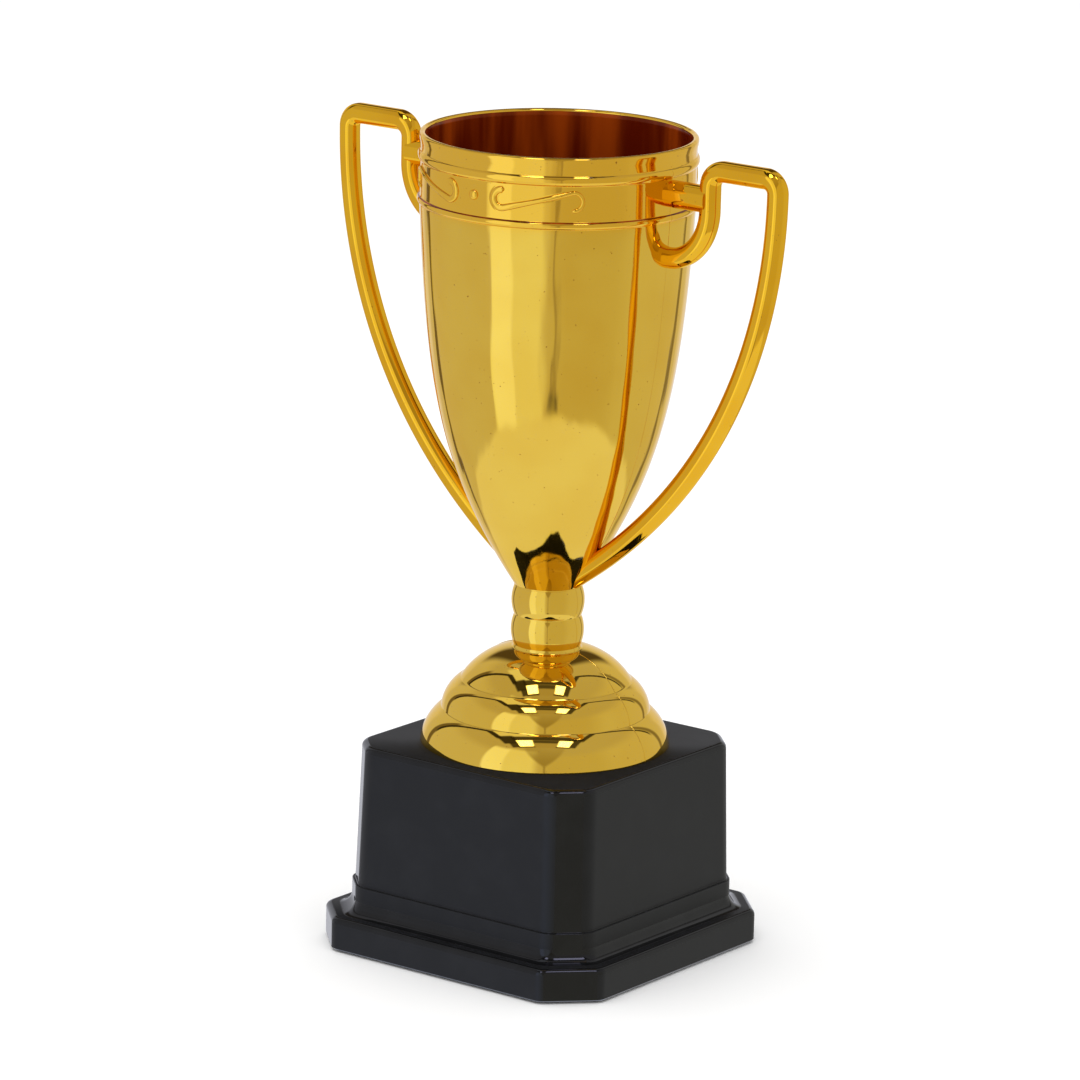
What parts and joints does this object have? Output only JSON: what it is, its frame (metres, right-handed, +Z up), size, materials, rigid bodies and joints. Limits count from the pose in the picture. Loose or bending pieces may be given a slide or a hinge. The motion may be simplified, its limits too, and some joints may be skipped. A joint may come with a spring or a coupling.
{
  "type": "cup trophy",
  "caption": "Tall gold cup with a curled handle on each side, on a ringed stem and tiered foot, bolted to a hollow square black plinth.",
  "frame": {"origin": "on the surface that the trophy stands on, under the middle of the plinth", "axes": "+Z up, handles along X, +Y to the back"},
  "size_m": [0.1256, 0.08, 0.1901],
  "materials": {
    "gold_plastic": "moulded plastic, vacuum metallised, mirror bright gold",
    "black_plastic": "gloss black moulding",
    "cover_plastic": "matt black moulding",
    "zinc_steel": "zinc plated steel",
    "pad_rubber": "matt black rubber",
    "cast_weight": "rough cast cement"
  },
  "bodies": {
    "root": {"plinth": "black_plastic", "base_cover": "cover_plastic", "ballast": "cast_weight", "foot": "gold_plastic", "bowl": "gold_plastic", "handle_left": "gold_plastic", "handle_right": "gold_plastic", "tie_bolt": "zinc_steel", "bolt_washer": "zinc_steel", "bowl_washer": "zinc_steel", "bowl_nut": "zinc_steel", "cover_screw_front_left": "zinc_steel", "cover_screw_front_right": "zinc_steel", "cover_screw_back_left": "zinc_steel", "cover_screw_back_right": "zinc_steel", "foot_pad_front_left": "pad_rubber", "foot_pad_front_right": "pad_rubber", "foot_pad_back_left": "pad_rubber", "foot_pad_back_right": "pad_rubber"}
  },
  "joints": []
}
